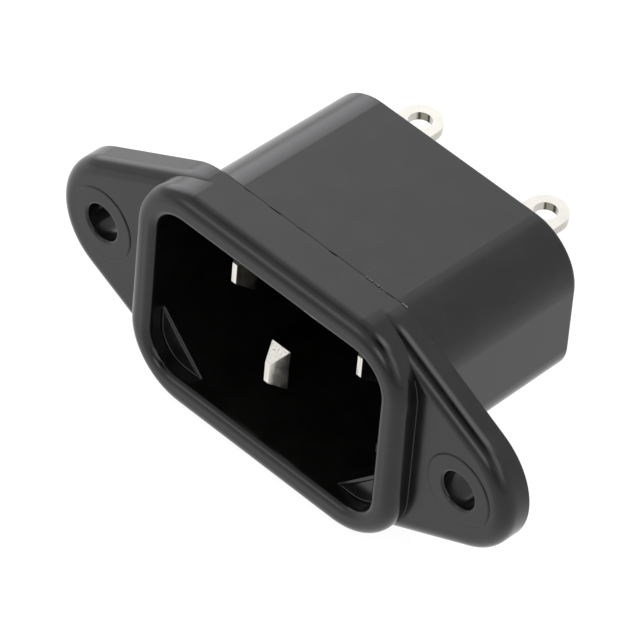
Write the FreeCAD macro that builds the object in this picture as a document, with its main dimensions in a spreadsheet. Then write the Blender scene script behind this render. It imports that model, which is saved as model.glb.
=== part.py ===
"""C14 panel inlet socket: one moulded housing and three plated contacts.

Frame: +X to the right seen from the front, +Y into the panel, +Z up, away from the two keying
corners. The origin is the centre of the flange's rear face, which seats on the panel.
Every size is in millimetres (one is in degrees) and lives once, in the Sizes sheet.
"""
import FreeCAD, Part
import math
import os
import Sketcher

SIZES = (
    # flange with its two ears
    ("hole_spacing", 40.0, "between the two screw holes"),
    ("hole_diameter", 3.3, "clearance for an M3 screw"),
    ("hole_edge_radius", 0.3, "rounding at the mouth of a screw hole"),
    ("seat_diameter", 6.5, "raised pad under a screw head"),
    ("seat_rise", 0.08, "how far that pad stands up"),
    ("seat_edge_bevel", 0.05, "bevel round that pad"),
    ("flange_width", 50.0, "over both ears"),
    ("flange_thickness", 2.8, "panel face to ear face"),
    ("ear_radius", 6.25, "round end of an ear"),
    ("flange_top_radius", 5.0, "its two upper corners"),
    ("flange_low_radius", 6.2, "its two lower corners"),
    ("ear_edge_radius", 1.3, "rounding along the front edge of the flange"),
    ("panel_edge_bevel", 0.1, "bevel along its rear edge, at the panel"),
    # collar in front of the flange
    ("collar_width", 29.9, "over the side walls"),
    ("collar_tall", 22.1, "over the top and bottom walls"),
    ("collar_top_radius", 5.7, "its two upper corners"),
    ("collar_low_radius", 6.2, "its two lower corners"),
    ("collar_reach", 1.9, "ear face to rim"),
    ("rim_radius", 1.25, "outer edge of the rim"),
    ("lip_radius", 0.7, "inner edge of the rim"),
    # body behind the panel
    ("body_width", 27.3, "at the panel face"),
    ("body_tall", 19.5, "at the panel face"),
    ("body_depth", 16.6, "panel face to rear face"),
    ("body_draft", 0.7, "degrees on every side"),
    ("body_top_radius", 5.1, "two upper corners"),
    ("body_chamfer", 6.6, "leg of the two lower corners"),
    ("body_chamfer_radius", 3.5, "both ends of those chamfers"),
    ("body_rear_radius", 0.3, "edge round the rear face"),
    # cavity that takes the connector
    ("mouth_width", 25.0, "between the side walls"),
    ("mouth_tall", 16.8, "between the top and bottom walls"),
    ("mouth_radius", 3.0, "its four corners"),
    ("mouth_depth", 1.7, "rim to the ledges over the keying corners"),
    ("cavity_radius", 3.0, "two upper corners behind the mouth"),
    ("cavity_chamfer", 4.8, "leg of the two keying corners"),
    ("cavity_chamfer_radius", 0.4, "both ends of those chamfers"),
    ("base_thickness", 3.0, "wall that carries the contacts"),
    # contacts
    ("pin_spacing", 14.0, "line to neutral"),
    ("pin_height", 2.6, "line and neutral above the screw holes"),
    ("earth_drop", 3.92, "from line and neutral down to earth"),
    ("pin_recess", 3.8, "rim to the tips of line and neutral"),
    ("earth_recess", 0.85, "rim to the tip of earth"),
    ("blade_thickness", 2.0, "across a blade"),
    ("blade_tall", 4.0, "height of a blade"),
    ("tip_length", 1.45, "bevelled end of a blade"),
    ("tip_thickness", 0.5, "across the flat at its end"),
    ("tip_tall", 2.0, "height of that flat"),
    ("strip_thickness", 0.8, "plate and tail behind the base wall"),
    ("strip_width", 3.8, "plate and tail"),
    ("tail_rise", 4.15, "blade axis to the outer face of the tail"),
    ("tail_bend_radius", 1.1, "outside of the bend into the tail"),
    ("eye_setback", 3.0, "rear face to the centre of the solder eye"),
    ("eye_diameter", 3.8, "outside of the solder eye"),
    ("eye_hole_diameter", 2.0, "hole for the wire"),
)

FACE_ON = "XZ_Plane"      # sketch axes +X and +Z, normal -Y
SIDE_ON = "YZ_Plane"      # sketch axes +Y and +Z, normal +X
TOP_ON = "XY_Plane"       # sketch axes +X and +Y, normal +Z
ORIGIN = (-1, 1)          # a sketch's own origin as constraints name it; -1 and -2 are its axes

TIP_FACE = "-(Sizes.flange_thickness + Sizes.collar_reach)"
RIM_PLANE = "Sizes.flange_thickness + Sizes.collar_reach"

doc = FreeCAD.newDocument("c14_panel_inlet")


def make_sheet():
    sheet = doc.addObject("Spreadsheet::Sheet", "Sizes")
    for row, (name, value, note) in enumerate(SIZES, start=1):
        sheet.set("A%d" % row, name)
        sheet.set("B%d" % row, str(value))
        sheet.set("C%d" % row, note)
        sheet.setAlias("B%d" % row, name)
    doc.recompute()
    return sheet


sizes = make_sheet()


def worth(text):
    """The present value of an expression on the sheet."""
    return float(sizes.evalExpression(text.replace("Sizes.", "")))


def bind(target, **expressions):
    for prop, text in expressions.items():
        target.setExpression(prop, text)


# ------------------------------------------------------------------ sketches

def new_sketch(body, name, role, offset="0"):
    """A sketch on one of the body's own origin planes, moved along the normal by offset."""
    sketch = body.newObject("Sketcher::SketchObject", name)
    plane = next(item for item in body.Origin.OriginFeatures if item.Role == role)
    sketch.AttachmentSupport = [(plane, "")]
    sketch.MapMode = "FlatFace"
    sketch.setExpression("AttachmentOffset.Base.z", offset)
    return sketch


def dimension(sketch, name, text, kind, *where):
    """A named driving constraint whose value is an expression on the sheet."""
    index = sketch.addConstraint(Sketcher.Constraint(kind, *where, worth(text)))
    sketch.renameConstraint(index, name)
    sketch.setExpression("Constraints." + name, text)


def relate(sketch, kind, *where):
    sketch.addConstraint(Sketcher.Constraint(kind, *where))


def add_circle(sketch, name, diameter, across="0", up="0"):
    x, y = worth(across), worth(up)
    circle = Part.Circle(FreeCAD.Vector(x, y, 0), FreeCAD.Vector(0, 0, 1), worth(diameter) / 2)
    index = sketch.addGeometry(circle, False)
    dimension(sketch, name + "_diameter", diameter, "Diameter", index)
    for axis, kind, text, value in (("x", "DistanceX", across, x), ("y", "DistanceY", up, y)):
        if text == "0":
            relate(sketch, "PointOnObject", index, 3, -2 if axis == "x" else -1)
        elif value > 0:
            dimension(sketch, name + "_" + axis, text, kind, *ORIGIN, index, 3)
        else:
            dimension(sketch, name + "_" + axis, "-(" + text + ")", kind, index, 3, *ORIGIN)
    return index


def rounded_loop(sketch, corners, radii):
    """Closed outline through the corners, anticlockwise, each one rounded by its radius.

    Returns the sides and the arcs; side i runs from corner i to corner i + 1. Neighbours are
    tangent end to end. A radius of 0 leaves its corner sharp, with None in place of an arc.
    """
    count = len(corners)
    points = [FreeCAD.Vector(x, y, 0) for x, y in corners]
    arriving, leaving, arcs = [], [], []
    for i, corner in enumerate(points):
        back = (points[i - 1] - corner).normalize()
        ahead = (points[(i + 1) % count] - corner).normalize()
        half = math.acos(max(-1.0, min(1.0, back.dot(ahead)))) / 2
        run = radii[i] / math.tan(half)
        arriving.append(corner + back * run)
        leaving.append(corner + ahead * run)
        if radii[i] == 0:
            arcs.append(None)
            continue
        centre = corner + (back + ahead).normalize() * (radii[i] / math.sin(half))
        # an inside corner turns the other way, so its arc starts where the loop leaves it
        turns_left = (points[i - 1] - corner).cross(points[(i + 1) % count] - corner).z < 0
        first, last = (arriving[i], leaving[i]) if turns_left else (leaving[i], arriving[i])
        angle = [math.atan2(p.y - centre.y, p.x - centre.x) for p in (first, last)]
        circle = Part.Circle(centre, FreeCAD.Vector(0, 0, 1), radii[i])
        index = sketch.addGeometry(Part.ArcOfCircle(circle, angle[0], angle[1]), False)
        arcs.append((index, 1, 2) if turns_left else (index, 2, 1))
    sides = [sketch.addGeometry(Part.LineSegment(leaving[i], arriving[(i + 1) % count]), False)
             for i in range(count)]
    for i in range(count):
        if arcs[i] is None:
            relate(sketch, "Coincident", sides[i - 1], 2, sides[i], 1)
        else:
            index, entry, leave = arcs[i]
            relate(sketch, "Tangent", sides[i - 1], 2, index, entry)
            relate(sketch, "Tangent", index, leave, sides[i], 1)
    return sides, [arc[0] if arc else None for arc in arcs]


def set_radius(sketch, name, text, arcs):
    """One radius dimension that every arc in the list shares."""
    dimension(sketch, name, text, "Radius", arcs[0])
    for other in arcs[1:]:
        relate(sketch, "Equal", arcs[0], other)


def set_frame(sketch, width, tall, right, top, left, bottom):
    """Four sides square to the axes and centred on the origin."""
    for upright in (right, left):
        relate(sketch, "Vertical", upright)
    for level in (top, bottom):
        relate(sketch, "Horizontal", level)
    dimension(sketch, "right_side", width + " / 2", "DistanceX", *ORIGIN, right, 1)
    dimension(sketch, "left_side", width + " / 2", "DistanceX", left, 1, *ORIGIN)
    dimension(sketch, "top_side", tall + " / 2", "DistanceY", *ORIGIN, top, 1)
    dimension(sketch, "bottom_side", tall + " / 2", "DistanceY", bottom, 1, *ORIGIN)


def draw_rectangle(sketch, width, tall, top_radius=None, low_radius=None):
    """A centred rectangle: sharp, or with one radius all round, or with two, upper and lower."""
    x, z = worth(width) / 2, worth(tall) / 2
    top = worth(top_radius) if top_radius else 0
    low = worth(low_radius) if low_radius else top
    sides, arcs = rounded_loop(sketch, [(x, -z), (x, z), (-x, z), (-x, -z)],
                               [low, top, top, low])
    set_frame(sketch, width, tall, *sides)
    if low_radius:
        set_radius(sketch, "top_radius", top_radius, [arcs[1], arcs[2]])
        set_radius(sketch, "low_radius", low_radius, [arcs[3], arcs[0]])
    elif top_radius:
        set_radius(sketch, "corner_radius", top_radius, arcs)


def draw_keyed(sketch, width, tall, top_radius, chamfer, chamfer_radius):
    """A centred outline with two round corners above and two 45 degree corners below."""
    x, z = worth(width) / 2, worth(tall) / 2
    leg, r_top, r_low = worth(chamfer), worth(top_radius), worth(chamfer_radius)
    corners = [(x, -z + leg), (x, z), (-x, z), (-x, -z + leg), (-x + leg, -z), (x - leg, -z)]
    sides, arcs = rounded_loop(sketch, corners, [r_low, r_top, r_top, r_low, r_low, r_low])
    right, top, left, low_left, bottom, low_right = sides
    set_frame(sketch, width, tall, right, top, left, bottom)
    set_radius(sketch, "top_radius", top_radius, [arcs[1], arcs[2]])
    set_radius(sketch, "chamfer_radius", chamfer_radius, [arcs[0], arcs[3], arcs[4], arcs[5]])
    reach = "((%s + %s) / 2 - %s) / sqrt(2)" % (width, tall, chamfer)
    for name, side, slope in (("left", low_left, -45), ("right", low_right, 45)):
        index = sketch.addConstraint(Sketcher.Constraint("Angle", side, math.radians(slope)))
        sketch.renameConstraint(index, name + "_slope")
        dimension(sketch, name + "_chamfer", reach, "Distance", *ORIGIN, side)


def draw_flange(sketch):
    """A plate as wide and tall as the collar with an ear each side, all its corners tangent."""
    ear = "(Sizes.flange_width / 2 - Sizes.ear_radius)"
    ear_x, r_ear = worth(ear), worth("Sizes.ear_radius")
    quarter, full = math.pi / 2, 2 * math.pi
    places, leans = {}, {}
    for level in ("top", "low"):
        radius = "Sizes.flange_%s_radius" % level
        across = "(Sizes.collar_width / 2 - %s)" % radius
        up = "(Sizes.collar_tall / 2 - %s)" % radius
        places[level] = (radius, across, up)
        x, z, r = worth(across), worth(up), worth(radius)
        # how far the normal of the tapered edge leans up or down from level
        leans[level] = (quarter - math.atan2(z, ear_x - x)
                        - math.asin((r - r_ear) / math.hypot(ear_x - x, z)))
    top, low = leans["top"], leans["low"]
    half = full / 2
    spans = (("ear", 1, 0, -low, top), ("top", 1, 1, top, quarter),
             ("top", -1, 1, quarter, half - top), ("ear", -1, 0, half - top, half + low),
             ("low", -1, -1, half + low, half + quarter),
             ("low", 1, -1, half + quarter, full - low))
    arcs = []
    for kind, right, above, start, end in spans:
        if kind == "ear":
            centre, radius = (right * ear_x, 0), r_ear
        else:
            centre = (right * worth(places[kind][1]), above * worth(places[kind][2]))
            radius = worth(places[kind][0])
        circle = Part.Circle(FreeCAD.Vector(*centre, 0), FreeCAD.Vector(0, 0, 1), radius)
        arcs.append(sketch.addGeometry(Part.ArcOfCircle(circle, start, end), False))
    ends = [(sketch.Geometry[arc].StartPoint, sketch.Geometry[arc].EndPoint) for arc in arcs]
    for i, arc in enumerate(arcs):
        after = (i + 1) % len(arcs)
        side = sketch.addGeometry(Part.LineSegment(ends[i][1], ends[after][0]), False)
        relate(sketch, "Tangent", arc, 2, side, 1)
        relate(sketch, "Tangent", side, 2, arcs[after], 1)
    right_ear, top_right, top_left, left_ear, low_left, low_right = arcs
    set_radius(sketch, "ear_radius", "Sizes.ear_radius", [right_ear, left_ear])
    for arc in (right_ear, left_ear):
        relate(sketch, "PointOnObject", arc, 3, -1)
    dimension(sketch, "right_ear", ear, "DistanceX", *ORIGIN, right_ear, 3)
    dimension(sketch, "left_ear", ear, "DistanceX", left_ear, 3, *ORIGIN)
    for level, right, left in (("top", top_right, top_left), ("low", low_right, low_left)):
        radius, across, up = places[level]
        set_radius(sketch, level + "_radius", radius, [right, left])
        dimension(sketch, level + "_across", across, "DistanceX", *ORIGIN, right, 3)
        rise = (*ORIGIN, right, 3) if level == "top" else (right, 3, *ORIGIN)
        dimension(sketch, level + "_up", up, "DistanceY", *rise)
        relate(sketch, "Symmetric", right, 3, left, 3, -2)


# ------------------------------------------------------------------ features

def add_pad(body, name, sketch, length, **extra):
    pad = body.newObject("PartDesign::Pad", name)
    pad.Profile = sketch
    bind(pad, Length=length)
    for prop, value in extra.items():
        setattr(pad, prop, value)
    sketch.Visibility = False
    doc.recompute()
    return pad


def add_pocket(body, name, sketch, length=None):
    """A cut along +Y from the sketch, right through when it has no length."""
    pocket = body.newObject("PartDesign::Pocket", name)
    pocket.Profile = sketch
    if length is None:
        pocket.Type = "ThroughAll"
    else:
        bind(pocket, Length=length)
    sketch.Visibility = False
    doc.recompute()
    return pocket


def edges_on(feature, y, keep=lambda edge: True):
    """Names of the edges that lie in the plane at y and pass the test."""
    names = []
    for number, edge in enumerate(feature.Shape.Edges, start=1):
        box = edge.BoundBox
        if max(abs(box.YMin - y), abs(box.YMax - y)) < edge.Length / 1000 and keep(edge):
            names.append("Edge%d" % number)
    return names


def add_fillet(body, name, feature, edges, radius):
    if not edges:
        raise RuntimeError("no edges for " + name)
    fillet = body.newObject("PartDesign::Fillet", name)
    fillet.Base = (feature, edges)
    bind(fillet, Radius=radius)
    doc.recompute()
    return fillet


def add_chamfer(body, name, feature, edges, size):
    if not edges:
        raise RuntimeError("no edges for " + name)
    chamfer = body.newObject("PartDesign::Chamfer", name)
    chamfer.Base = (feature, edges)
    bind(chamfer, Size=size)
    doc.recompute()
    return chamfer


# ------------------------------------------------------------------- housing

def make_housing():
    body = doc.addObject("PartDesign::Body", "housing")
    ear_face = -worth("Sizes.flange_thickness")
    rim = -worth(RIM_PLANE)

    sketch = new_sketch(body, "flange_outline", FACE_ON)
    draw_flange(sketch)
    flange = add_pad(body, "flange", sketch, "Sizes.flange_thickness")
    add_fillet(body, "flange_edge", flange, edges_on(flange, ear_face), "Sizes.ear_edge_radius")

    sketch = new_sketch(body, "collar_outline", FACE_ON)
    draw_rectangle(sketch, "Sizes.collar_width", "Sizes.collar_tall",
                   "Sizes.collar_top_radius", "Sizes.collar_low_radius")
    collar = add_pad(body, "collar", sketch, RIM_PLANE)
    rounded = add_fillet(body, "rim_edge", collar, edges_on(collar, rim), "Sizes.rim_radius")
    add_chamfer(body, "panel_edge", rounded, edges_on(rounded, 0), "Sizes.panel_edge_bevel")

    sketch = new_sketch(body, "body_outline", FACE_ON)
    draw_keyed(sketch, "Sizes.body_width", "Sizes.body_tall", "Sizes.body_top_radius",
               "Sizes.body_chamfer", "Sizes.body_chamfer_radius")
    rear = add_pad(body, "rear_body", sketch, "Sizes.body_depth", Reversed=True)
    bind(rear, TaperAngle="-Sizes.body_draft")
    doc.recompute()
    add_fillet(body, "rear_edge", rear, edges_on(rear, worth("Sizes.body_depth")),
               "Sizes.body_rear_radius")

    sketch = new_sketch(body, "mouth_outline", FACE_ON, RIM_PLANE)
    draw_rectangle(sketch, "Sizes.mouth_width", "Sizes.mouth_tall", "Sizes.mouth_radius")
    mouth = add_pocket(body, "mouth", sketch, "Sizes.mouth_depth")
    across = worth("(Sizes.mouth_width + Sizes.collar_width) / 4")
    up = worth("(Sizes.mouth_tall + Sizes.collar_tall) / 4")
    inner = edges_on(mouth, rim, lambda edge: edge.BoundBox.XMax < across
                     and -edge.BoundBox.XMin < across and edge.BoundBox.ZMax < up
                     and -edge.BoundBox.ZMin < up)
    add_fillet(body, "lip_edge", mouth, inner, "Sizes.lip_radius")

    sketch = new_sketch(body, "cavity_outline", FACE_ON, RIM_PLANE + " - Sizes.mouth_depth")
    draw_keyed(sketch, "Sizes.mouth_width", "Sizes.mouth_tall", "Sizes.cavity_radius",
               "Sizes.cavity_chamfer", "Sizes.cavity_chamfer_radius")
    add_pocket(body, "cavity", sketch,
               RIM_PLANE + " - Sizes.mouth_depth + Sizes.body_depth - Sizes.base_thickness")

    sketch = new_sketch(body, "seat_outline", FACE_ON, "Sizes.flange_thickness")
    add_circle(sketch, "right", "Sizes.seat_diameter", "Sizes.hole_spacing / 2")
    add_circle(sketch, "left", "Sizes.seat_diameter", "-Sizes.hole_spacing / 2")
    seats = add_pad(body, "screw_seats", sketch, "Sizes.seat_rise")
    add_chamfer(body, "seat_edge", seats, edges_on(seats, ear_face - worth("Sizes.seat_rise")),
                "Sizes.seat_edge_bevel")

    sketch = new_sketch(body, "hole_outline", FACE_ON,
                        "Sizes.flange_thickness + Sizes.seat_rise")
    add_circle(sketch, "right", "Sizes.hole_diameter", "Sizes.hole_spacing / 2")
    add_circle(sketch, "left", "Sizes.hole_diameter", "-Sizes.hole_spacing / 2")
    holes = add_pocket(body, "screw_holes", sketch)
    seat = worth("(Sizes.hole_diameter + Sizes.seat_diameter) / 2")
    mouths = edges_on(holes, ear_face - worth("Sizes.seat_rise"),
                      lambda edge: edge.BoundBox.XLength < seat)
    add_fillet(body, "hole_edge", holes, mouths, "Sizes.hole_edge_radius")

    for name, across, up in CONTACT_PLACES:
        sketch = new_sketch(body, name + "_slot_outline", FACE_ON,
                            "Sizes.base_thickness - Sizes.body_depth")
        draw_slot(sketch, across, up)
        add_pocket(body, name + "_slot", sketch)
    return body


def draw_slot(sketch, across, up):
    """The blade's own section, placed where its contact stands."""
    x, z = worth(across), worth(up)
    w, h = worth("Sizes.blade_thickness") / 2, worth("Sizes.blade_tall") / 2
    corners = [(x + w, z - h), (x + w, z + h), (x - w, z + h), (x - w, z - h)]
    (right, top, left, bottom), _ = rounded_loop(sketch, corners, [0] * 4)
    for upright in (right, left):
        relate(sketch, "Vertical", upright)
    for level in (top, bottom):
        relate(sketch, "Horizontal", level)
    dimension(sketch, "thickness", "Sizes.blade_thickness", "DistanceX", left, 1, right, 2)
    dimension(sketch, "tall", "Sizes.blade_tall", "DistanceY", right, 1, right, 2)
    for name, kind, text, axis in (("right_edge", "DistanceX", "(%s) + Sizes.blade_thickness / 2"
                                    % across, 0),
                                   ("top_edge", "DistanceY", "(%s) + Sizes.blade_tall / 2"
                                    % up, 1)):
        if worth(text) > 0:
            dimension(sketch, name, text, kind, *ORIGIN, right, 2)
        else:
            dimension(sketch, name, "-(" + text + ")", kind, right, 2, *ORIGIN)


# ------------------------------------------------------------------ contacts

CONTACT_PLACES = (
    ("line_contact", "-Sizes.pin_spacing / 2", "Sizes.pin_height"),
    ("neutral_contact", "Sizes.pin_spacing / 2", "Sizes.pin_height"),
    ("earth_contact", "0", "Sizes.pin_height - Sizes.earth_drop"),
)


def make_contact(name, across, up, recess, tail_down=False):
    """One strip of metal: bevelled blade, plate up the rear face, tail with a solder eye.

    It is built with its blade on the Y axis and then set in place; tail_down turns it over.
    """
    body = doc.addObject("PartDesign::Body", name)
    start = "(%s + %s)" % (TIP_FACE, recess)
    blade_start = "(%s + Sizes.tip_length)" % start

    sketch = new_sketch(body, name + "_section", FACE_ON, "-" + blade_start)
    draw_rectangle(sketch, "Sizes.blade_thickness", "Sizes.blade_tall")
    add_pad(body, name + "_blade", sketch, "Sizes.body_depth - " + blade_start, Reversed=True)

    tip = body.newObject("PartDesign::AdditiveWedge", name + "_tip")
    bind(tip, Ymin=start, Ymax=blade_start,
         Xmin="-Sizes.tip_thickness / 2", Xmax="Sizes.tip_thickness / 2",
         Zmin="-Sizes.tip_tall / 2", Zmax="Sizes.tip_tall / 2",
         X2min="-Sizes.blade_thickness / 2", X2max="Sizes.blade_thickness / 2",
         Z2min="-Sizes.blade_tall / 2", Z2max="Sizes.blade_tall / 2")
    doc.recompute()

    sketch = new_sketch(body, name + "_strip_profile", SIDE_ON)
    draw_strip(sketch)
    add_pad(body, name + "_strip", sketch, "Sizes.strip_width", Midplane=True)

    sketch = new_sketch(body, name + "_eye_outline", TOP_ON,
                        "Sizes.tail_rise - Sizes.strip_thickness")
    add_circle(sketch, "eye", "Sizes.eye_diameter", up="Sizes.body_depth + Sizes.eye_setback")
    add_pad(body, name + "_eye", sketch, "Sizes.strip_thickness")

    sketch = new_sketch(body, name + "_wire_hole_outline", TOP_ON, "Sizes.tail_rise")
    add_circle(sketch, "hole", "Sizes.eye_hole_diameter",
               up="Sizes.body_depth + Sizes.eye_setback")
    add_pocket(body, name + "_wire_hole", sketch)

    if tail_down:
        body.Placement = FreeCAD.Placement(FreeCAD.Vector(), FreeCAD.Rotation(
            FreeCAD.Vector(0, 1, 0), 180))
    body.setExpression("Placement.Base.x", across)
    body.setExpression("Placement.Base.z", up)
    doc.recompute()
    return body


def draw_strip(sketch):
    """Plate up the rear face with a round bend into the tail."""
    face, end = worth("Sizes.body_depth"), worth("Sizes.body_depth + Sizes.eye_setback")
    thick, low, high = (worth("Sizes.strip_thickness"), -worth("Sizes.blade_tall") / 2,
                        worth("Sizes.tail_rise"))
    outside = worth("Sizes.tail_bend_radius")
    corners = [(face, low), (face + thick, low), (face + thick, high - thick),
               (end, high - thick), (end, high), (face, high)]
    sides, arcs = rounded_loop(sketch, corners, [0, 0, outside - thick, 0, 0, outside])
    foot, inner, under, tip, upper, back = sides
    for upright in (inner, tip, back):
        relate(sketch, "Vertical", upright)
    for level in (foot, under, upper):
        relate(sketch, "Horizontal", level)
    dimension(sketch, "rear_face", "Sizes.body_depth", "DistanceX", *ORIGIN, back, 2)
    dimension(sketch, "foot", "Sizes.blade_tall / 2", "DistanceY", back, 2, *ORIGIN)
    dimension(sketch, "plate", "Sizes.strip_thickness", "DistanceX", foot, 1, foot, 2)
    dimension(sketch, "rise", "Sizes.tail_rise", "DistanceY", *ORIGIN, tip, 2)
    dimension(sketch, "tail", "Sizes.strip_thickness", "DistanceY", tip, 1, tip, 2)
    dimension(sketch, "eye_centre", "Sizes.body_depth + Sizes.eye_setback", "DistanceX",
              *ORIGIN, tip, 1)
    dimension(sketch, "bend_outside", "Sizes.tail_bend_radius", "Radius", arcs[5])
    dimension(sketch, "bend_inside", "Sizes.tail_bend_radius - Sizes.strip_thickness",
              "Radius", arcs[2])


# --------------------------------------------------------------------- whole

def check_document():
    """Every feature has to be up to date and every shape sound."""
    for item in doc.Objects:
        if "Invalid" in item.State or "Error" in item.State:
            raise RuntimeError("%s did not compute: %s" % (item.Label, item.State))
        if item.isDerivedFrom("PartDesign::Feature") or item.isDerivedFrom("PartDesign::Body"):
            if item.Shape.isNull() or not item.Shape.isValid():
                raise RuntimeError(item.Label + " has no valid shape")
        if item.isDerivedFrom("Sketcher::SketchObject") and not item.FullyConstrained:
            raise RuntimeError(item.Label + " is not fully constrained")


nodes = [make_housing()]
for contact, (name, across, up) in zip(("pin", "pin", "earth"), CONTACT_PLACES):
    nodes.append(make_contact(name, across, up, "Sizes.%s_recess" % contact,
                              tail_down=contact == "earth"))
doc.recompute()
check_document()

os.makedirs("parts", exist_ok=True)
for node in nodes:
    if len(node.Shape.Solids) != 1:
        raise RuntimeError("%s is %d solids" % (node.Label, len(node.Shape.Solids)))
    node.Shape.exportStep("parts/%s.step" % node.Label)
    box = node.Shape.BoundBox
    print("%s: %.2f x %.2f x %.2f mm, %.0f mm3" % (node.Label, box.XLength, box.YLength,
                                                   box.ZLength, node.Shape.Volume))
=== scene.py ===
"""Panel inlet socket: the CAD frame in its finishes, the mould's small marks, white floor and soft light."""
import math
import random

import bpy
from mathutils import Matrix, Vector


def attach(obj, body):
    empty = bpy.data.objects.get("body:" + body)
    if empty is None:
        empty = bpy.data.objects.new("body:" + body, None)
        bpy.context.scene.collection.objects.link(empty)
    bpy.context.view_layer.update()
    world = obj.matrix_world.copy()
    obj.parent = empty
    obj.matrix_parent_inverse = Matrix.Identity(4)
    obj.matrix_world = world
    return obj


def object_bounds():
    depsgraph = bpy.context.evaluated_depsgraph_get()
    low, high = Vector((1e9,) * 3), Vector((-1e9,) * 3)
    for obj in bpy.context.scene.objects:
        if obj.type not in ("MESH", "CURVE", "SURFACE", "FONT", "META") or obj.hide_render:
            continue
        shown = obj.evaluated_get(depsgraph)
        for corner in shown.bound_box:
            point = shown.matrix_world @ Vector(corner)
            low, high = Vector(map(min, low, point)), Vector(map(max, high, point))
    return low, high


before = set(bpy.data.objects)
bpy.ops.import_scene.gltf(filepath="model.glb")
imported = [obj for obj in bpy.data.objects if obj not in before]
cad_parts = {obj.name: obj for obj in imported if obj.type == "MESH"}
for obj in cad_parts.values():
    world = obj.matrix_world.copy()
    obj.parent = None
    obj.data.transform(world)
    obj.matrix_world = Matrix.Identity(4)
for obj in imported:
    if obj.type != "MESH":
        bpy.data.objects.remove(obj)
cad_box = [list(corner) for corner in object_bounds()]
MM = 0.001


def srgb(code):
    """A hex colour such as "1a1b1c" as linear red, green, blue and alpha."""
    steps = [int(code[i : i + 2], 16) / 255 for i in (0, 2, 4)]
    return [s / 12.92 if s <= 0.04045 else ((s + 0.055) / 1.055) ** 2.4 for s in steps] + [1.0]


def add(tree, kind, inputs=(), **settings):
    """Add one node with its settings and return its outputs. The inputs are a list in the node's own order,
    or go by name. An input that is another node's output is linked."""
    node = tree.nodes.new(kind)
    for name, value in settings.items():
        setattr(node, name, value)
    for socket, value in inputs.items() if isinstance(inputs, dict) else enumerate(inputs):
        if isinstance(value, bpy.types.NodeSocket):
            tree.links.new(value, node.inputs[socket])
        else:
            node.inputs[socket].default_value = value
    return node.outputs


def new_tree(holder):
    """An empty node tree in a new material or world."""
    holder.use_nodes = True
    holder.node_tree.nodes.clear()
    return holder.node_tree


# ---------------------------------------------------------------- finishes

SMOOTH = {"interpolation_type": "SMOOTHSTEP"}  # a change that starts and ends gently
EAR_SCRATCH = ((-19.65, -2.85, -2.88), (-18.48, -2.85, -3.44))  # mm, below the left screw hole
TOP_SCRATCH = ((4.92, 1.5, 9.73), (4.85, 4.4, 9.70))  # mm, on top of the rear body
SCRATCH_REACH = 0.055 * MM  # from the middle of a scratch to its edge
MOUTH_HALF_WIDTH, MOUTH_HALF_HEIGHT = 12.6 * MM, 8.6 * MM  # just over the real ones
HAIRLINE_TURNS = ((0.3, 0.2, 0.6), (0.9, 0.5, -0.7))  # radians, for two directions that cross


def scratches(tree, place):
    """How much of a scratch there is at place: two long ones, and a few hairlines outside the mouth."""
    total = 0.0
    for start, end in (EAR_SCRATCH, TOP_SCRATCH):
        first, run = Vector(start) * MM, (Vector(end) - Vector(start)) * MM
        along = run / run.length_squared
        off = add(tree, "ShaderNodeVectorMath", [place, first], operation="SUBTRACT")[0]
        share = add(tree, "ShaderNodeVectorMath", [off, along], operation="DOT_PRODUCT")["Value"]
        share = add(tree, "ShaderNodeClamp", {"Value": share})[0]
        nearest = add(tree, "ShaderNodeVectorMath", {"Vector": run, "Scale": share}, operation="SCALE")[0]
        gap = add(tree, "ShaderNodeVectorMath", [off, nearest], operation="DISTANCE")["Value"]
        fade = {"Value": gap, "From Min": 0.0, "From Max": SCRATCH_REACH, "To Min": 1.0, "To Max": 0.0}
        line = add(tree, "ShaderNodeMapRange", fade, **SMOOTH)[0]
        total = add(tree, "ShaderNodeMath", [line, total], operation="MAXIMUM")[0]

    # Hairlines keep out of the mouth, where the place is within both its half width and its half height.
    per_half = (1 / MOUTH_HALF_WIDTH, 0.0, 1 / MOUTH_HALF_HEIGHT)
    across = add(tree, "ShaderNodeVectorMath", [place, per_half], operation="MULTIPLY")[0]
    across = add(tree, "ShaderNodeVectorMath", [across], operation="ABSOLUTE")[0]
    across = add(tree, "ShaderNodeSeparateXYZ", [across])
    outside = add(tree, "ShaderNodeMath", [across["X"], across["Z"]], operation="MAXIMUM")[0]
    outside = add(tree, "ShaderNodeMath", [outside, 1.0], operation="GREATER_THAN")[0]

    for turn in HAIRLINE_TURNS:
        # A hairline is the edge between two cells that are 2.4 mm wide and seven times as long.
        stretch = {"Vector": place, "Rotation": turn, "Scale": (1.0, 0.14, 1.0)}
        stretched = add(tree, "ShaderNodeMapping", stretch)[0]
        cells = {"Vector": stretched, "Scale": 1 / (2.4 * MM)}
        edge = add(tree, "ShaderNodeTexVoronoi", cells, feature="DISTANCE_TO_EDGE")[0]
        fade = {"Value": edge, "From Min": 0.0, "From Max": 0.008, "To Min": 1.0, "To Max": 0.0}
        line = add(tree, "ShaderNodeMapRange", fade, **SMOOTH)[0]
        # It shows only in a few patches about 2 mm across.
        turned = add(tree, "ShaderNodeMapping", {"Vector": place, "Rotation": turn})[0]
        patches = {"Vector": turned, "Scale": 1 / (2.2 * MM), "Detail": 1.0}
        patch = add(tree, "ShaderNodeTexNoise", patches)["Fac"]
        few = {"Value": patch, "From Min": 0.70, "From Max": 0.76}
        patch = add(tree, "ShaderNodeMapRange", few, **SMOOTH)[0]
        line = add(tree, "ShaderNodeMath", [line, patch], operation="MULTIPLY")[0]
        line = add(tree, "ShaderNodeMath", [line, outside], operation="MULTIPLY")[0]
        total = add(tree, "ShaderNodeMath", [line, total], operation="MAXIMUM")[0]
    return total


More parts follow.
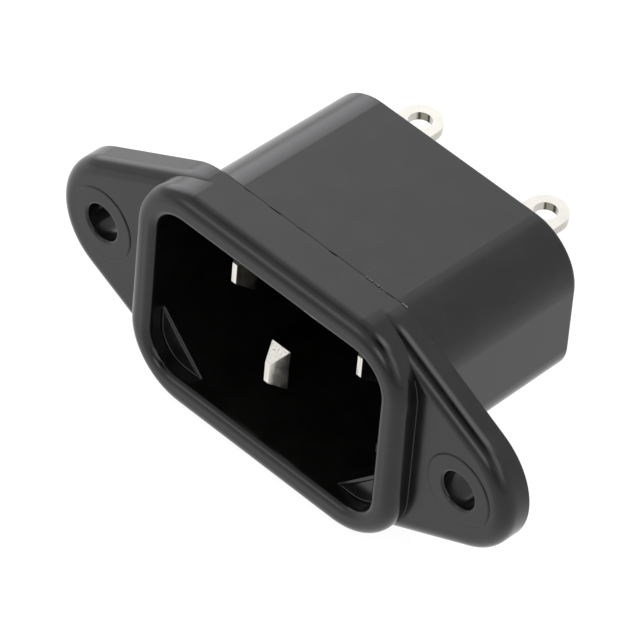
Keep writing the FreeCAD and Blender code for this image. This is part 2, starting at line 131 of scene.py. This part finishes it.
def dust(tree, place):
    """Round specks of dust 0.1 mm across, in one cell of five about 1.1 mm wide."""
    cells = add(tree, "ShaderNodeTexVoronoi", {"Vector": place, "Scale": 1 / (1.1 * MM)})
    rim = {"Value": cells["Distance"], "From Min": 0.023, "From Max": 0.046, "To Min": 1.0, "To Max": 0.0}
    dot = add(tree, "ShaderNodeMapRange", rim, **SMOOTH)[0]
    lot = add(tree, "ShaderNodeSeparateColor", [cells["Color"]])[0]
    chosen = add(tree, "ShaderNodeMath", [lot, 0.8], operation="GREATER_THAN")[0]
    return add(tree, "ShaderNodeMath", [dot, chosen], operation="MULTIPLY")[0]


def moulded_black_polyamide():
    # Injection moulded black polyamide. The polished tool leaves a satin skin that mirrors lamps softly,
    # strongest at a low angle. It has a fine texture, drag marks along the draw, a slow unevenness from
    # shrinkage, scratches and dust.
    made = bpy.data.materials.new("moulded_black_polyamide")
    tree = new_tree(made)
    place = add(tree, "ShaderNodeTexCoord")["Object"]
    # The tool's texture is nearer 0.05 mm, and is drawn at 0.14 mm so that it shows.
    texture = {"Vector": place, "Scale": 1 / (0.14 * MM), "Detail": 3.0, "Roughness": 0.6}
    grain = add(tree, "ShaderNodeTexNoise", texture)["Fac"]
    shrinkage = {"Vector": place, "Scale": 1 / (2.6 * MM), "Detail": 3.0, "Roughness": 0.55}
    cloud = add(tree, "ShaderNodeTexNoise", shrinkage)["Fac"]
    draw = {"Vector": place, "Rotation": (0.0, 0.0, 0.2), "Scale": (1.0, 0.12, 1.0)}
    drawn = add(tree, "ShaderNodeMapping", draw)[0]
    drag = add(tree, "ShaderNodeTexNoise", {"Vector": drawn, "Scale": 1 / (0.3 * MM)})["Fac"]
    scratch, speck = scratches(tree, place), dust(tree, place)

    # Colour: two near blacks by the clouds, greyer in a scratch and greyest on a speck.
    share = add(tree, "ShaderNodeMapRange", {"Value": cloud, "From Min": 0.35, "From Max": 0.7}, **SMOOTH)[0]
    shades = {"Factor": share, "A": srgb("0c0c0b"), "B": srgb("121211")}
    colour = add(tree, "ShaderNodeMix", shades, data_type="RGBA")["Result"]
    for mark, strength, shade in ((scratch, 0.2, "3c3c3b"), (speck, 0.35, "5a5a57")):
        share = add(tree, "ShaderNodeMath", [mark, strength], operation="MULTIPLY")[0]
        shades = {"Factor": share, "A": colour, "B": srgb(shade)}
        colour = add(tree, "ShaderNodeMix", shades, data_type="RGBA")["Result"]

    # Roughness: a little by the clouds and the texture, and more on a mark.
    sheen = {"Value": cloud, "From Min": 0.3, "From Max": 0.7, "To Min": 0.15, "To Max": 0.19}
    rough = add(tree, "ShaderNodeMapRange", sheen, **SMOOTH)[0]
    rough = add(tree, "ShaderNodeMath", [grain, 0.05, rough], operation="MULTIPLY_ADD")[0]
    marks = add(tree, "ShaderNodeMath", [scratch, speck], operation="MAXIMUM")[0]
    rough = add(tree, "ShaderNodeMath", [marks, 0.2, rough], operation="MULTIPLY_ADD")[0]

    # Relief, from the widest to the finest, each with its depth in mm and its strength.
    normal = add(tree, "ShaderNodeBump", {"Height": cloud, "Distance": 0.02 * MM, "Strength": 0.12})[0]
    for height, depth, strength in ((drag, 0.003, 0.25), (grain, 0.005, 0.45), (scratch, 0.006, 0.3)):
        relief = {"Height": height, "Distance": depth * MM, "Strength": strength, "Normal": normal}
        normal = add(tree, "ShaderNodeBump", relief)[0]
    skin = {"Base Color": colour, "Roughness": rough, "Normal": normal, "IOR": 1.42}
    shader = add(tree, "ShaderNodeBsdfPrincipled", skin)[0]
    add(tree, "ShaderNodeOutputMaterial", {"Surface": shader})
    return made


def torn_polyamide_and_painted_glint():
    # The same polyamide where a thin skin of it was torn at the mould's joint: rough and dull, and painted a
    # lighter grey that stands in for the glints on the torn crumbs: painted highlight.
    made = bpy.data.materials.new("torn_polyamide_and_painted_glint")
    tree = new_tree(made)
    place = add(tree, "ShaderNodeTexCoord")["Object"]
    torn = {"Vector": place, "Scale": 1 / (0.15 * MM), "Detail": 2.0}
    fibre = add(tree, "ShaderNodeTexNoise", torn)["Fac"]
    share = add(tree, "ShaderNodeMapRange", {"Value": fibre, "From Min": 0.4, "From Max": 0.6}, **SMOOTH)[0]
    # The lighter grey, a little blue, is painted highlight that stands in for the crumbs' glints.
    shades = {"Factor": share, "A": srgb("3a3a39"), "B": srgb("6c6c72")}
    colour = add(tree, "ShaderNodeMix", shades, data_type="RGBA")["Result"]
    normal = add(tree, "ShaderNodeBump", {"Height": fibre, "Distance": 0.03 * MM, "Strength": 0.5})[0]
    skin = {"Base Color": colour, "Roughness": 0.45, "Normal": normal, "IOR": 1.5}
    shader = add(tree, "ShaderNodeBsdfPrincipled", skin)[0]
    add(tree, "ShaderNodeOutputMaterial", {"Surface": shader})
    return made


def nickel_plated_brass():
    # Brass strip, pressed and plated with bright nickel: a clear, slightly warm mirror on the blade and a
    # duller one on the tail. The press's draw lines run down the blade and fade on the tail. They are darkened
    # in streaks that are partly stains and partly painted shade for the darker reflections along the blade's
    # bevels.
    made = bpy.data.materials.new("nickel_plated_brass")
    tree = new_tree(made)
    place = add(tree, "ShaderNodeTexCoord")["Object"]
    depth = add(tree, "ShaderNodeSeparateXYZ", [place])["Y"]
    rear = {"Value": depth, "From Min": 13 * MM, "From Max": 18 * MM}
    tail = add(tree, "ShaderNodeMapRange", rear, **SMOOTH)[0]
    # Draw lines are nearer 0.03 mm apart, and are drawn at 0.14 mm so that they show.
    drawn = add(tree, "ShaderNodeMapping", {"Vector": place, "Scale": (1.0, 1.0, 0.05)})[0]
    lines = add(tree, "ShaderNodeTexNoise", {"Vector": drawn, "Scale": 1 / (0.14 * MM)})["Fac"]
    cloud = add(tree, "ShaderNodeTexNoise", {"Vector": place, "Scale": 1 / (1.2 * MM)})["Fac"]

    # Colour: the blade's shades, then the tail's greyer ones, with dark streaks in the draw lines: partly
    # stains, partly painted shade.
    shades = {"Factor": cloud, "A": srgb("dad8ce"), "B": srgb("e6e4db")}
    blade_colour = add(tree, "ShaderNodeMix", shades, data_type="RGBA")["Result"]
    shades = {"Factor": cloud, "A": srgb("b6b4ab"), "B": srgb("c0beb6")}
    tail_colour = add(tree, "ShaderNodeMix", shades, data_type="RGBA")["Result"]
    shades = {"Factor": tail, "A": blade_colour, "B": tail_colour}
    colour = add(tree, "ShaderNodeMix", shades, data_type="RGBA")["Result"]
    draw_line_strength = add(tree, "ShaderNodeMapRange", {"Value": tail, "To Min": 0.5, "To Max": 0.04})[0]
    # Dark streaks in the draw lines: partly stains, partly painted shade for the bevel's darker reflections.
    dark = {"Value": lines, "From Min": 0.56, "From Max": 0.66, "To Min": 0.0, "To Max": draw_line_strength}
    stain_and_painted_shade = add(tree, "ShaderNodeMapRange", dark, **SMOOTH)[0]
    shades = {"Factor": stain_and_painted_shade, "A": colour, "B": srgb("6f6a5c")}
    colour = add(tree, "ShaderNodeMix", shades, data_type="RGBA")["Result"]

    # Roughness: a little by the clouds, and more on the tail. The draw lines stand in relief.
    sheen = {"Value": cloud, "From Min": 0.3, "From Max": 0.7, "To Min": 0.10, "To Max": 0.16}
    rough = add(tree, "ShaderNodeMapRange", sheen, **SMOOTH)[0]
    rough = add(tree, "ShaderNodeMath", [tail, 0.08, rough], operation="MULTIPLY_ADD")[0]
    normal = add(tree, "ShaderNodeBump", {"Height": lines, "Distance": 0.004 * MM, "Strength": draw_line_strength})[0]
    plate = {"Base Color": colour, "Metallic": 1.0, "Roughness": rough, "Normal": normal}
    shader = add(tree, "ShaderNodeBsdfPrincipled", plate)[0]
    add(tree, "ShaderNodeOutputMaterial", {"Surface": shader})
    return made


finishes = {
    "housing": moulded_black_polyamide(),
    "torn": torn_polyamide_and_painted_glint(),
    "contacts": nickel_plated_brass(),
}
for name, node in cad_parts.items():
    finish = finishes["housing" if name == "housing" else "contacts"]
    if not node.material_slots:
        node.data.materials.append(finish)
    for slot in node.material_slots:
        slot.material = finish


# ---------------------------------------------------------------- the mould's marks, in mm and degrees

EAR_FACE, LEDGE = -2.8, -3.0  # depths of the ears' front and of the keying ledges' end
FLANGE_TOP = 11.05
SCREW_HOLE, PAD_EDGE = 20, 3.27  # a hole's distance from the middle, and the radius of the pad round it
DOWN, LEFT = -90, -180  # headings, from +X towards +Z


def finish_piece(name, finish="housing"):
    """Put the piece's place in its mesh, point its faces outwards, and let it ride with the housing."""
    bpy.ops.object.mode_set(mode="OBJECT")
    bpy.ops.object.transform_apply(location=True, rotation=True, scale=True)
    bpy.ops.object.mode_set(mode="EDIT")
    bpy.ops.mesh.select_all(action="SELECT")
    bpy.ops.mesh.remove_doubles(threshold=0.001 * MM)
    bpy.ops.mesh.normals_make_consistent(inside=False)
    bpy.ops.object.mode_set(mode="OBJECT")
    bpy.ops.object.shade_smooth_by_angle(angle=math.radians(60))
    piece = bpy.context.object
    piece.name = name
    if not piece.data.materials:
        piece.data.materials.append(finishes[finish])
    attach(piece, "root")
    return piece


def mirror_piece(piece, name):
    """The same piece on the left-hand side, with a mesh of its own."""
    bpy.ops.object.select_all(action="DESELECT")
    piece.select_set(True)
    bpy.context.view_layer.objects.active = piece
    bpy.ops.object.duplicate()
    bpy.ops.transform.resize(value=(-1, 1, 1), center_override=(0, 0, 0))
    return finish_piece(name)


def start_bead(radius, place, heading):
    """The end of a bead: a small filled circle that looks along the heading."""
    bpy.ops.object.select_all(action="DESELECT")
    bpy.ops.mesh.primitive_circle_add(
        vertices=8, radius=radius * MM, fill_type="NGON",
        location=Vector(place) * MM, rotation=(0, math.radians(90 - heading), 0))
    bpy.ops.object.mode_set(mode="EDIT")


def draw_bead(name, radius, depth, start, heading, moves):
    """A fine round edge at one depth, drawn from start (x, z). A move is the length of a run, or the centre
    and the turn of a corner."""
    start_bead(radius, (start[0], depth, start[1]), heading)
    for move in moves:
        if isinstance(move, tuple):
            (x, z), turn = move
            steps = max(3, abs(turn) // 6)
            centre = Vector((x, depth, z)) * MM
            bpy.ops.mesh.spin(steps=steps, angle=math.radians(turn), center=centre, axis=(0, 1, 0))
            heading += turn
        else:
            run = Vector((math.cos(math.radians(heading)), 0, math.sin(math.radians(heading)))) * move * MM
            bpy.ops.mesh.extrude_region_move(TRANSFORM_OT_translate={"value": run})
    return finish_piece(name)


def collar_feet():
    """The fine round line where the collar's side walls meet the ears."""
    line = [0.13, ((9.25, 5.35), -24), 10.2, ((8.75, -4.85), -25)]
    right = draw_bead(
        "collar_foot_right", radius=0.07, depth=EAR_FACE, start=(14.40, 7.79), heading=-66, moves=line)
    mirror_piece(right, "collar_foot_left")


def ledge_edges():
    """The rounded slope edge of each keying ledge, and the fine line where it meets the mouth's wall."""
    slope = draw_bead(
        "ledge_right_slope_edge", radius=0.25, depth=LEDGE + 0.17, start=(12.54, -3.80), heading=-135,
        moves=[6.56])
    line = [1.5, ((9.5, -5.4), LEFT - DOWN), 1.4]
    wall = draw_bead(
        "ledge_right_wall_edge", radius=0.08, depth=LEDGE, start=(12.38, -3.9), heading=DOWN, moves=line)
    mirror_piece(slope, "ledge_left_slope_edge")
    mirror_piece(wall, "ledge_left_wall_edge")


def pad_rings():
    """The fine raised line round each screw pad."""
    for name, across in (("pad_ring_right", SCREW_HOLE), ("pad_ring_left", -SCREW_HOLE)):
        bpy.ops.object.select_all(action="DESELECT")
        bpy.ops.mesh.primitive_torus_add(
            major_segments=72, minor_segments=8, major_radius=PAD_EDGE * MM, minor_radius=0.05 * MM,
            location=(across * MM, (EAR_FACE - 0.01) * MM, 0), rotation=(math.radians(90), 0, 0))
        finish_piece(name)


def parting_ridge():
    """The low uneven ridge along the flange's rear top edge, where the two halves of the mould met. It lies
    lower on its right-hand third."""
    chance = random.Random(7)
    left_end, stride, strides, last_high = -9.9, 0.3, 66, 43
    start_bead(radius=0.03, place=(left_end, -0.03, FLANGE_TOP - 0.015), heading=0)
    level = 0.0
    for step in range(strides):
        rise = chance.uniform(-0.008, 0.008) - (0.015 if step > last_high else 0.0)
        way = Vector((stride, 0.0, rise - level)) * MM
        bpy.ops.mesh.extrude_region_move(TRANSFORM_OT_translate={"value": way})
        level = rise
    finish_piece("parting_ridge")


def tear_crumb(name, middle, size, ragged, seed, finish="housing"):
    """A crumb of flash: a sliver cut up, pulled ragged and rounded off."""
    bpy.ops.object.select_all(action="DESELECT")
    bpy.ops.mesh.primitive_cube_add(size=1, location=Vector(middle) * MM, scale=Vector(size) * MM)
    bpy.ops.object.transform_apply(location=False, rotation=False, scale=True)
    bpy.ops.object.mode_set(mode="EDIT")
    bpy.ops.mesh.subdivide(number_cuts=4)
    bpy.ops.transform.vertex_random(offset=ragged * MM, seed=seed)
    bpy.ops.mesh.vertices_smooth(factor=0.5)
    return finish_piece(name, finish)


def flash():
    """Slivers and a row of torn crumbs along the ridge, each with its x, length and height, and a burr on the
    right inner lip."""
    chance = random.Random(11)
    slivers = [(-4.0, 1.3, 0.14), (-7.1, 0.7, 0.10), (-1.2, 0.8, 0.10), (2.45, 0.9, 0.15), (8.6, 0.9, 0.12)]
    crumbs = [(10.3, 0.6, 0.13)]
    for i in range(8):
        x = 6.2 + 0.26 * i + chance.uniform(-0.06, 0.06)
        length = chance.uniform(0.08, 0.16)
        crumbs.append((x, length, chance.uniform(0.12, 0.24)))
    for number, (x, length, tall) in enumerate(slivers + crumbs, start=1):
        middle, size = (x, -0.07, FLANGE_TOP), (length, 0.09, tall)
        finish = "housing" if number <= len(slivers) else "torn"
        tear_crumb("flash_%d" % number, middle, size, ragged=0.03, seed=number, finish=finish)
    tear_crumb("lip_burr", middle=(12.70, -4.44, 0.3), size=(0.10, 0.10, 0.9), ragged=0.04, seed=21)


collar_feet()
ledge_edges()
pad_rings()
parting_ridge()
flash()


# ---------------------------------------------------------------- floor, light and camera

def white_paper():
    # Matt white paper. It looks white and keeps the object's shadow. For mirrored rays alone it glows brighter
    # on
    # the left and dimmer in front: a painted reflection in the plastic, not light it sheds.
    white_glow = 0.93
    made = bpy.data.materials.new("white_paper")
    tree = new_tree(made)
    place = add(tree, "ShaderNodeTexCoord")["Object"]
    across = add(tree, "ShaderNodeSeparateXYZ", [place])
    # Painted reflection: the glow that the plastic mirrors, brighter on the left and dimmer in front.
    fade = {"Value": across["X"], "From Min": -0.12, "From Max": -0.02, "To Min": 0.35, "To Max": 0.0}
    left = add(tree, "ShaderNodeMapRange", fade, **SMOOTH)[0]
    fade = {"Value": across["Y"], "From Min": -0.12, "From Max": -0.04, "To Min": 0.45, "To Max": white_glow}
    front = add(tree, "ShaderNodeMapRange", fade, **SMOOTH)[0]
    painted_reflection_glow = add(tree, "ShaderNodeMath", [left, front], operation="ADD")[0]
    ray = add(tree, "ShaderNodeLightPath")
    either = [ray["Is Glossy Ray"], ray["Is Transmission Ray"]]
    mirrored = add(tree, "ShaderNodeMath", either, operation="MAXIMUM")[0]
    glow = add(tree, "ShaderNodeMath", [ray["Is Camera Ray"], white_glow], operation="MULTIPLY")[0]
    glow = add(tree, "ShaderNodeMath", [mirrored, painted_reflection_glow, glow], operation="MULTIPLY_ADD")[0]
    paper = {
        "Base Color": srgb("6a6a6a"), "Roughness": 0.9, "Specular IOR Level": 0.0,
        "Emission Color": srgb("ffffff"), "Emission Strength": glow}
    shader = add(tree, "ShaderNodeBsdfPrincipled", paper)[0]
    add(tree, "ShaderNodeOutputMaterial", {"Surface": shader})
    return made


def white_floor():
    """A wide level floor at the object's lowest point."""
    low = cad_box[0][2]
    bpy.ops.object.select_all(action="DESELECT")
    bpy.ops.mesh.primitive_grid_add(x_subdivisions=8, y_subdivisions=8, size=6.0, location=(0, 0, low))
    bpy.ops.object.transform_apply(location=True)
    floor = bpy.context.object
    floor.name = "white_floor"
    floor.data.materials.append(white_paper())


def studio_surround():
    """Soft light from all round, with panels brighter than the rest and screens dimmer than it."""
    even_glow = 1.12
    # Each has its middle's azimuth from the front towards +X and elevation, the half width of its even part
    # and of the whole, all in degrees, and its strength.
    panels = (
        (-109, 28, 9, 31, 2.80),  # the wide panel on the left
        (-140, 42, 6, 20, 0.55),  # left and behind
        (112, 70, 5, 20, 2.90),  # high on the right
        (80, 44, 5, 18, 1.65),  # right
        (72, 24, 4, 14, 1.25),  # low on the right
        (10, 18, 4, 13, 2.60),  # low in front
        (-30, 22, 3, 15, 1.50),  # low in front, to the left
        (-58, 60, 4, 15, -0.45),  # the screens: high on the left
        (32, 50, 12, 26, -0.60),  # front right
        (32, 10, 6, 20, -0.60),  # below that one
        (52, 66, 6, 20, -0.35),  # high, front right
        (10, 68, 16, 30, -0.35),  # high in front
    )
    world = bpy.data.worlds.new("studio_surround")
    tree = new_tree(world)
    bpy.context.scene.world = world
    way = add(tree, "ShaderNodeTexCoord")["Generated"]
    glow = even_glow
    for azimuth, elevation, even, whole, strength in panels:
        a, e = math.radians(azimuth), math.radians(elevation)
        middle = (math.sin(a) * math.cos(e), -math.cos(a) * math.cos(e), math.sin(e))
        near = add(tree, "ShaderNodeVectorMath", [way, middle], operation="DOT_PRODUCT")["Value"]
        edge, inside = math.cos(math.radians(whole)), math.cos(math.radians(even))
        spread = {"Value": near, "From Min": edge, "From Max": inside}
        share = add(tree, "ShaderNodeMapRange", spread, **SMOOTH)[0]
        glow = add(tree, "ShaderNodeMath", [share, strength, glow], operation="MULTIPLY_ADD")[0]
    background = add(tree, "ShaderNodeBackground", {"Color": srgb("fcfcff"), "Strength": glow})[0]
    add(tree, "ShaderNodeOutputWorld", {"Surface": background})


def place_camera():
    """A long lens from the right, in front and above."""
    data = bpy.data.cameras.new("camera")
    data.lens, data.sensor_width = 399.7, 36.0
    data.clip_start, data.clip_end = 0.05, 20.0
    camera = bpy.data.objects.new("camera", data)
    right = (0.702515, 0.708706, 0.064871)
    up = (-0.523737, 0.453131, 0.721368)
    back = (0.481843, -0.540747, 0.689507)
    turn = Matrix((right, up, back)).transposed().to_4x4()
    camera.matrix_world = Matrix.Translation((0.26983, -0.30095, 0.38695)) @ turn
    bpy.context.collection.objects.link(camera)
    bpy.context.scene.camera = camera


white_floor()
studio_surround()
place_camera()
bpy.context.scene.view_settings.view_transform = "Standard"
